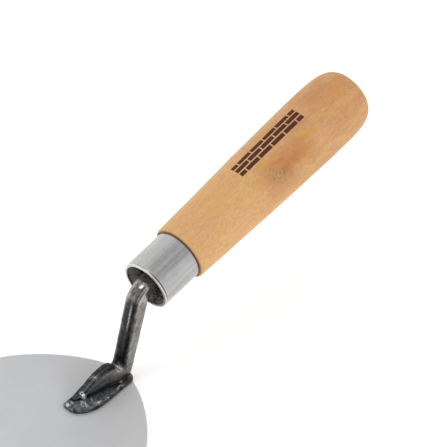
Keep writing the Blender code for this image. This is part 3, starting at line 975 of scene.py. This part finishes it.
def forge_relief(points, foot, neck):
    """Heights in metres: shallow hammer dents, drawn out on the neck, and a crust where foot is 1."""
    dents = np.empty(len(points))
    crust = np.empty(len(points))
    for i, point in enumerate(points):
        place = Vector(point)
        stretched = Vector((place.x, place.y, place.z * (1 - 0.55 * neck[i])))
        nearest = noise.voronoi(stretched / DENT_SIZE)[0]
        dents[i] = min(nearest[0], 1.0)
        crust[i] = noise.fractal(place / CRUST_SIZE, 0.8, 2.0, 3)
    return DENT_DEPTH * (dents**2 - 0.25) + CRUST_DEPTH * foot * crust


def foot_rim(x):
    """The Y of the foot's right edge."""
    run = np.clip((x - FOOT_NOSE) / FOOT_SWEEP, 0, 1)
    bow = FOOT_RIGHT * np.sqrt(1 - (1 - run) ** 2)
    swept = FOOT_NOSE + FOOT_SWEEP
    taper = np.clip((x - swept) / (FOOT_HEEL - FOOT_HEEL_ROUND - swept), 0, 1)
    return (FOOT_RIGHT - FOOT_HEEL_RIGHT) * taper - bow


def store_forging_marks(skin, normals, foot, neck):
    """What the finish needs to know: tone with painted shade and highlights, mottle, worn metal with painted
    highlights, straw tint, spatter with painted glints, and gloss.
    """
    points = skin.points
    x, y, z = points.T
    facing_front = smooth_step(-normals[:, 0], 0.3, 0.8)
    facing_right = smooth_step(-normals[:, 1], 0.3, 0.8)
    dome = smooth_step(z, 0.050, 0.060)
    places, _, ridge_y, ridge_z, shoulder_y, shoulder_z = tongue_curve().T
    ridge_at = np.interp(x, places, ridge_y)
    shoulder_at = np.interp(x, places, shoulder_y)
    ridge = np.hypot(y - ridge_at, z - np.interp(x, places, ridge_z))
    shoulder = np.hypot(y - shoulder_at, z - np.interp(x, places, shoulder_z))
    across = (y - ridge_at) / (shoulder_at - ridge_at)
    on_tongue = smooth_step(x, -0.0300, -0.0270) * fade(x, -0.0075, -0.0055) * (1 - neck)
    top = on_tongue * smooth_step(normals[:, 2] - normals[:, 0], 0.5, 1.0) * (1 - foot)
    flank = on_tongue * facing_right * (1 - foot) * smooth_step(z, 0.0030, 0.0042)
    from_rim = y - foot_rim(x)
    # Painted highlight: a light line just inside the foot's right rim.
    rim_highlight = bell(from_rim - 0.0013, 0.0004) * smooth_step(x, -0.031, -0.028) * fade(x, -0.015, -0.010)

    tone = 0.50 + 0.32 * dome
    # Painted shade: the neck's front faces darker and its right faces lighter, as the light falls on them.
    tone += neck * (0.14 * facing_right - 0.14 * facing_front)
    # Painted highlight: a light strip along the neck's left edge.
    tone += 0.46 * neck * bell(y - 0.0036, 0.0011) * smooth_step(-normals[:, 0], 0.0, 0.4)
    # Painted dark reflection: a dark strip on the neck's front face, beside the painted bevel highlight.
    tone -= 0.22 * neck * facing_front * bell(y + 0.0022, 0.0006)
    tone += top * (-0.04 + 0.12 * np.cos(TAU * (2.6 * across + 12 * x)))
    # Painted shade: dark lines along the tongue's ridge and its left shoulder.
    tone -= 0.40 * on_tongue * (bell(ridge + 0.0002, 0.0006) + bell(shoulder, 0.0008))
    # Painted shade in the corner where the tongue meets the foot.
    tone -= 0.40 * bell(tongue_distance(x, y), 0.0006) * fade(z, 0.0040, 0.0052)
    tone += 0.10 * flank
    # Painted shade darkens the foot at its right rim; the painted rim highlight lightens the line beside it.
    tone += foot * (0.16 - 0.30 * fade(from_rim, 0.0003, 0.0009) + 0.25 * rim_highlight)
    tone -= 0.20 * foot * smooth_step(x, -0.014, -0.004)
    # Painted shade: a dark spot just above the crease.
    tone -= 0.40 * cloud(points, *CREASE_SHADE)
    mottle = 0.30 + 0.45 * foot - 0.05 * on_tongue - 0.20 * flank + 0.15 * neck - 0.30 * dome

    bulge = ((points - skin.average(points)) * normals).sum(1) / FORGED_VOXEL
    for _ in range(2):
        bulge = skin.average(bulge)
    edges = 0.35 * smooth_step(bulge, 0.030, 0.085) * (1 - 0.5 * foot) * (1 - on_tongue) * (1 - 0.9 * dome)
    # Painted highlight: a narrow bright streak on the neck's front bevel.
    bevel_highlight = bell(y + 0.0009, 0.00045) * smooth_step(z, 0.034, 0.040) * fade(z, 0.051, 0.055)
    # Worn bright metal on the convex edges, together with painted highlights on the neck's bevel and at the
    # crease.
    rub = np.maximum(0.95 * neck * facing_front * bevel_highlight, edges)
    # Painted highlight: a broad light patch at the crease.
    rub = np.maximum(rub, 0.9 * cloud(points, *CREASE_HIGHLIGHT))

    # Bright spatter metal on the beads and spots, painted lighter still as glints.
    glint = np.zeros(len(x))
    for bead, radius in spatter_beads():
        away = np.linalg.norm(points - np.array(bead), axis=1)
        glint = np.maximum(glint, BEAD_GLINT * fade(away, 0.5 * radius, 1.6 * radius))
    upper = smooth_step(normals[:, 2], 0.0, 0.5) * (z < 0.007)
    for glint_x, glint_y, half_x, half_y in SPATTER_GLINTS:
        reach = np.hypot((x - glint_x) / half_x, (y - glint_y) / half_y)
        glint = np.maximum(glint, fade(reach, 0.4, 1.3) * upper)

    straw = cloud(points, *CREASE_STRAW)
    skin.store(tone=tone, mottle=mottle, rub=rub, straw=straw, glint=glint, gloss=dome)


def make_shank(finish):
    """The forging: an even skin, dented by the hammer, crusted at the weld and crowned at its bend."""
    mesh = forged_blank()
    skin = Skin(mesh)
    skin.relax(2)
    x, y, z = skin.points.T
    near_crease = bell(np.hypot(x - CREASE.x, z - CREASE.y - 0.0003), 0.0026)[:, None]
    skin.relax(24, 0.5 * near_crease)
    x, y, z = skin.points.T
    beside = smooth_step(tongue_distance(x, y), 0.0001, 0.0009)
    foot = beside * smooth_step(-z, -0.0052, -0.0038)
    neck = smooth_step(z, 0.0112, 0.0140)
    normals = skin.normals()
    _, handle = neck_directions()
    reach = (x - MOUTH.x) * handle.x + (z - MOUTH.y) * handle.y
    shown = fade(reach, 0.002, 0.008)
    knuckle = smooth_step(z, 0.048, 0.056)
    lift = forge_relief(skin.points, foot, neck) * shown * (1 - 0.85 * knuckle)
    outer = smooth_step(normals[:, 2] - normals[:, 0], 0.6, 1.0)
    lift -= KNUCKLE_CROWN * knuckle * shown * outer * (y / KNUCKLE_HALF_WIDTH) ** 2
    under = smooth_step(-normals[:, 2], 0.5, 0.9) * smooth_step(-z, -0.0030, -0.0020)
    skin.points += normals * (lift * (1 - under))[:, None]
    skin.relax(1, 0.4)
    low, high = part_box("shank")
    skin.points = np.clip(skin.points, np.array(low) + (0, 0, WELD_LINE - MODEL_GAP), np.array(high))
    store_forging_marks(skin, skin.normals(), foot, neck)
    piece("forged_shank", mesh, finish, "shank")


def turned_mesh(name, profile, relief, closed=False):
    """Turns a profile of (radius, distance from the mouth) about the handle's axis, with relief on it."""
    place = Matrix.Translation((MOUTH.x, 0, MOUTH.y)) @ Matrix.Rotation(TAU / 4 - HANDLE_PITCH, 4, "Y")
    edit = bmesh.new()
    rows = []
    for radius, along in profile:
        if radius == 0:
            rows.append([edit.verts.new(place @ Vector((0, 0, along)))] * TURNED_STEPS)
            continue
        row = []
        for i in range(TURNED_STEPS):
            turn = TAU * i / TURNED_STEPS
            cos, sin = math.cos(turn), math.sin(turn)
            grown = radius + relief(Vector((radius * cos, radius * sin, along)))
            row.append(edit.verts.new(place @ Vector((grown * cos, grown * sin, along))))
        rows.append(row)
    for near, far in zip(rows, rows[1:] + rows[:1] if closed else rows[1:]):
        bridge(edit, near, far)
    return mesh_of(edit, name)


def make_ferrule(finish):
    """A drawn tube: broken rim edges, a fine groove rolled beside the rounded lip, which turns in."""
    rim = FERRULE_LENGTH - FERRULE_RIM_BREAK
    profile = arc(Vector((FERRULE_RADIUS - FERRULE_RIM_BREAK, rim)), FERRULE_RIM_BREAK, TAU / 4, 0, 4)
    wall_steps = 30
    groove_steps = 8
    groove_start = FERRULE_GROOVE + FERRULE_GROOVE_WIDTH / 2
    for i in range(1, wall_steps):
        profile.append((FERRULE_RADIUS, rim + (groove_start - rim) * i / wall_steps))
    for i in range(groove_steps):
        share = i / groove_steps
        dip = FERRULE_GROOVE_DEPTH * (1 - math.cos(TAU * share)) / 2
        profile.append((FERRULE_RADIUS - dip, groove_start - FERRULE_GROOVE_WIDTH * share))
    lip = Vector((FERRULE_RADIUS - FERRULE_LIP_RADIUS, FERRULE_LIP_RADIUS))
    profile += arc(lip, FERRULE_LIP_RADIUS, 0, -TAU / 4, 10)
    edge = FERRULE_MOUTH_BREAK
    profile += arc(Vector((FERRULE_MOUTH_RADIUS + edge, edge)), edge, 3 * TAU / 4, TAU / 2, 4)
    profile.append((FERRULE_MOUTH_RADIUS, FERRULE_WALL))
    turn_in = Vector((FERRULE_RADIUS - FERRULE_TURN_IN, FERRULE_TURN_IN))
    profile += arc(turn_in, FERRULE_TURN_IN_RADIUS, -TAU / 4, 0, 4)[1:]
    profile.append((FERRULE_RADIUS - FERRULE_WALL, FERRULE_LENGTH - 0.0001))

    def dents(point):
        return FERRULE_DENTS * (noise.noise(point / 0.006) - 0.3)

    mesh = turned_mesh("drawn_ferrule", profile, dents, closed=True)
    piece("drawn_ferrule", mesh, finish, "ferrule")


def handle_radius(along):
    """The grip's radius: a gentle swell from the shoulder to where the dome begins."""
    share = (along - SHOULDER) / (HANDLE_LENGTH - DOME_LENGTH - SHOULDER)
    return SHOULDER_RADIUS + (SWELL_RADIUS - SHOULDER_RADIUS) * (1 - (1 - share) ** SWELL_CURVE)


def make_handle(finish):
    """The turned grip, sanded by hand: its surface strays from round by up to a fifth of a millimetre."""
    dome_base = HANDLE_LENGTH - DOME_LENGTH
    dome_steps = 40
    grip_steps = 110
    profile = []
    for i in range(dome_steps):
        angle = TAU / 4 * (1 - i / dome_steps)
        radius = 0 if i == 0 else SWELL_RADIUS * math.cos(angle) ** (2 / DOME_CURVE)
        profile.append((radius, dome_base + DOME_LENGTH * math.sin(angle) ** (2 / DOME_CURVE)))
    round_base = SHOULDER + SHOULDER_ROUND
    for i in range(grip_steps):
        along = dome_base + (round_base - dome_base) * i / grip_steps
        profile.append((handle_radius(along), along))
    round_centre = Vector((handle_radius(round_base) - SHOULDER_ROUND, round_base))
    profile += arc(round_centre, SHOULDER_ROUND, 0, -TAU / 4, 8)
    rim = SPIGOT_RADIUS - BORE_EDGE
    bore_rim = BORE_RADIUS + BORE_EDGE
    recess = SPIGOT_RECESS
    profile += [(SPIGOT_RADIUS, SHOULDER), (SPIGOT_RADIUS, recess + BORE_EDGE)]
    face_steps = 6
    for i in range(face_steps + 1):
        profile.append((rim + (bore_rim - rim) * i / face_steps, recess))
    profile += [(BORE_RADIUS, recess + BORE_EDGE), (BORE_RADIUS, BORE_DEPTH)]
    profile += [(BORE_END_RADIUS, BORE_END), (0, BORE_END)]

    def sanding(point):
        swell = smooth_step(np.float64(point.z), SHOULDER, SHOULDER + 0.004)
        return float(swell) * SANDING * (noise.noise(point / 0.014) - 0.5)

    mesh = turned_mesh("turned_handle", profile, sanding)
    piece("turned_handle", mesh, finish, "handle")


def make_camera():
    """A far camera with a long lens, turned, tilted and rolled about the middle of its view."""
    data = bpy.data.cameras.new("camera")
    data.lens = LENS
    data.clip_end = CLIP_END
    camera = placed("camera", data)
    tilted = Matrix.Rotation(-VIEW_TURN, 4, "Z") @ Matrix.Rotation(TAU / 4 - VIEW_TILT, 4, "X")
    back = Matrix.Rotation(VIEW_ROLL, 4, "Z") @ Matrix.Translation((0, 0, VIEW_DISTANCE))
    camera.matrix_world = Matrix.Translation(VIEW_CENTRE) @ tilted @ back
    bpy.context.scene.camera = camera


def make_floor(finish):
    """A wide disc just under the blade."""
    edit = bmesh.new()
    bmesh.ops.create_circle(edit, cap_ends=True, segments=96, radius=40)
    floor = placed("floor", baked(edit, "floor"))
    floor.data.materials.append(finish)
    floor.location.z = -0.0001


def softbox(name, place, size, power, mirrored):
    """A rectangular lamp; mirrored says whether polished surfaces show it."""
    data = bpy.data.lights.new(name, "AREA")
    data.shape = "RECTANGLE"
    data.size, data.size_y = size
    data.energy = power
    light = placed(name, data)
    light.location = place
    light.rotation_euler = (Vector(LAMP_AIM) - Vector(place)).to_track_quat("-Z", "Y").to_euler()
    light.visible_camera = False
    light.visible_glossy = mirrored


def make_light():
    """A pale studio, brighter at its walls than overhead, with soft lamps on both sides and one above."""
    world = bpy.data.worlds.new("studio")
    world.use_nodes = True
    bpy.context.scene.world = world
    f = Nodes(world.node_tree)
    f.tree.nodes.clear()
    _, _, height = f.split(f.node("TexCoord").outputs["Generated"])
    level = f.node("MapRange", height, ROOM_LOW, ROOM_HIGH, ROOM_WALLS, ROOM_CEILING).outputs[0]
    room = f.node("Background", WHITE, level).outputs[0]
    backdrop = f.node("Background", WHITE, BACKDROP).outputs[0]
    seen = f.node("LightPath").outputs["Is Camera Ray"]
    f.node("OutputWorld", f.node("MixShader", seen, room, backdrop).outputs[0])
    for lamp in LAMPS:
        softbox(*lamp)


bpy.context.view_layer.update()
bpy.context.scene.view_settings.view_transform = "Standard"
make_camera()
make_floor(floor_finish())
make_light()
make_blade(blade_finish())
make_shank(forged_finish())
make_ferrule(ferrule_finish())
make_handle(wood_finish())
